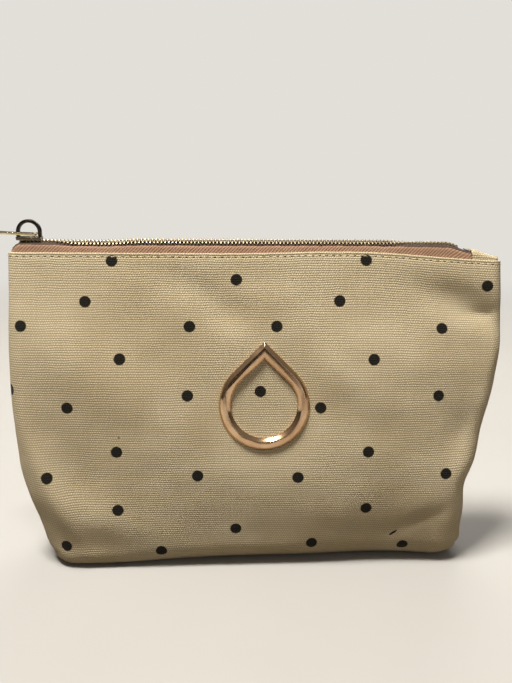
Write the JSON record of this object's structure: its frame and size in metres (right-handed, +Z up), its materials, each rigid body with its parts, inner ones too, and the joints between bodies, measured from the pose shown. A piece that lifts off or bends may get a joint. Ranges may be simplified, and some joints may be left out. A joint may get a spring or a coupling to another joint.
{
  "type": "zip makeup bag",
  "caption": "Canvas makeup bag with boxed corners, polka-dot print, lining, metal-toothed zip with arched slider and pull, and a gold drop-shaped ornament on the front.",
  "frame": {"origin": "middle of the flat base, on the surface that the bag stands on", "axes": "+X along the zip towards its closed end stop, the slider resting at the -X end; -Y is the front with the ornament; +Z up"},
  "size_m": [0.27, 0.0496, 0.1757],
  "materials": {
    "canvas": "coarse plain weave, cream with printed black dots",
    "lining": "fine plain cotton",
    "zip_tape": "dusty pink herringbone tape",
    "zip_teeth": "polished",
    "stops": "polished",
    "slider": "polished pale gold",
    "crown": "dark gunmetal plating",
    "pull": "polished pale gold",
    "ornament": "polished rose gold with bevels",
    "washers": "stamped"
  },
  "bodies": {
    "bag": {"front_panel": "canvas", "back_panel": "canvas", "front_lining": "lining", "back_lining": "lining", "front_tape": "zip_tape", "back_tape": "zip_tape", "front_teeth": "zip_teeth", "back_teeth": "zip_teeth", "front_top_stop": "stops", "back_top_stop": "stops", "bottom_stop": "stops", "zip_end_tab": "canvas", "ornament": "ornament", "ornament_washers": "washers"},
    "slider": {"slider_body": "slider", "slider_crown": "crown"},
    "pull": {"pull_tab": "pull"}
  },
  "joints": [
    {"name": "slider_slide", "type": "slide", "parent": "bag", "child": "slider", "axis": [1, 0, 0], "range_m": [0, 0.1965], "deforming": ["front_teeth", "back_teeth"]},
    {"name": "pull_swing", "type": "hinge", "parent": "slider", "child": "pull", "pos_m": [-0.1095, 0, 0.16841], "axis": [0, 1, 0], "range_deg": [0, 180]}
  ]
}
